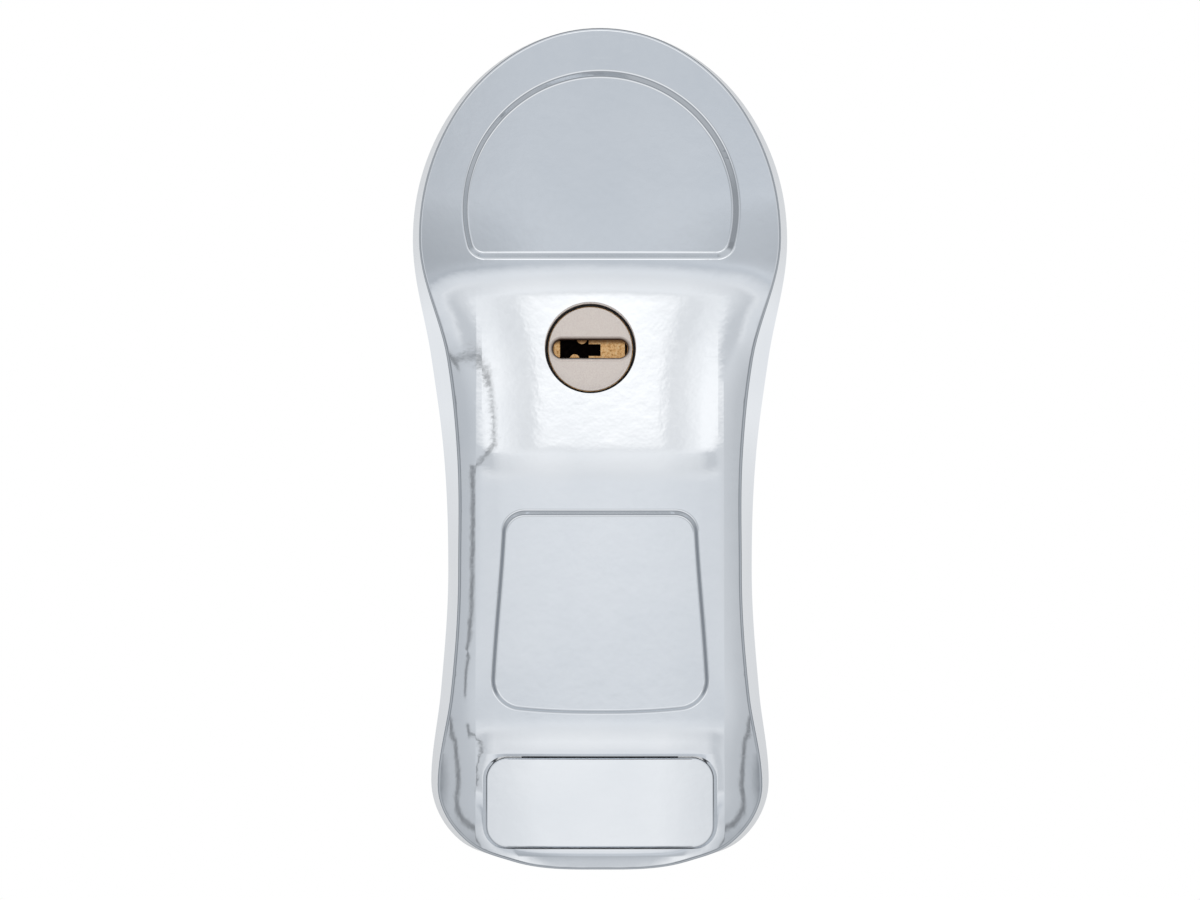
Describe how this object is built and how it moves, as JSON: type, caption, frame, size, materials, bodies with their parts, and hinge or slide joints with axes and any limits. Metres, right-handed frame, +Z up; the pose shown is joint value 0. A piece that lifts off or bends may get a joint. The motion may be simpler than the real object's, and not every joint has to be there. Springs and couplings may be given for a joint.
{
  "type": "toolbox lock",
  "caption": "Hourglass die-cast toolbox lock: chromed housing with a key cylinder and a push button that swings a spring-loaded latch hook behind the door.",
  "frame": {"origin": "centre of the plane where the housing's rim meets the door", "axes": "+Z up along the housing, -Y towards the hand in front of the door, +Y into the box, +X to the right seen from the front"},
  "size_m": [0.067, 0.0723, 0.15],
  "materials": {
    "chrome_casting": "bright chrome plating over a polished zinc casting",
    "zinc_steel": "bright zinc plating",
    "case_steel": "satin zinc-plated steel sheet",
    "brass": "machined brass",
    "black_rubber": "matt black rubber",
    "satin_nickel": "satin nickel",
    "spring_steel": "drawn spring wire",
    "black_plastic": "black moulded acetal"
  },
  "bodies": {
    "housing": {"front_housing": "chrome_casting", "rim_gasket": "black_rubber", "mounting_studs": "zinc_steel", "cylinder_barrel": "brass", "cylinder_seal": "black_rubber", "cylinder_washer": "zinc_steel", "cylinder_nut": "zinc_steel", "button_springs": "spring_steel", "spring_pegs": "zinc_steel", "button_buffers": "black_rubber", "lock_case": "case_steel", "case_screws": "zinc_steel", "pivot_pin": "zinc_steel", "pivot_clip": "spring_steel", "hook_stop_pin": "zinc_steel", "pivot_spacers": "black_plastic", "hook_spring": "spring_steel"},
    "key_plug": {"plug_face": "satin_nickel", "plug_core": "brass", "plug_wafers": "brass", "wafer_springs": "spring_steel", "cam_crank": "case_steel", "crank_pin": "zinc_steel", "crank_screw": "zinc_steel"},
    "button": {"push_button": "chrome_casting", "button_slider": "black_plastic", "button_screws": "zinc_steel", "bar_carrier": "case_steel", "carrier_screws": "zinc_steel", "bar_rivets": "zinc_steel"},
    "bar": {"lock_bar": "case_steel"},
    "hook": {"latch_hook": "case_steel"}
  },
  "joints": [
    {"name": "key_turn", "type": "hinge", "parent": "housing", "child": "key_plug", "pos_m": [-0.0017, 0, 0.0174], "axis": [0, -1, 0], "range_deg": [0, 90]},
    {"name": "button_press", "type": "slide", "parent": "housing", "child": "button", "axis": [0, 1, 0], "range_m": [0, 0.005], "stiffness_N_per_m": 900, "springref_m": -0.004, "deforming": ["button_springs"]},
    {"name": "hook_swing", "type": "hinge", "parent": "housing", "child": "hook", "pos_m": [0, 0.0248, -0.036], "axis": [1, 0, 0], "range_deg": [0, 18.6], "stiffness_Nm_per_rad": 0.1, "springref_deg": -34.38, "deforming": ["hook_spring"]},
    {"name": "bar_slide", "type": "slide", "parent": "button", "child": "bar", "axis": [0, 0, 1], "range_m": [0, 0.00792]}
  ],
  "couplings": [
    {"joint": "hook_swing", "follows": "button_press", "rad_per_m": 64.926},
    {"joint": "key_turn", "follows": "bar_slide", "rad_per_m": 198.3}
  ]
}
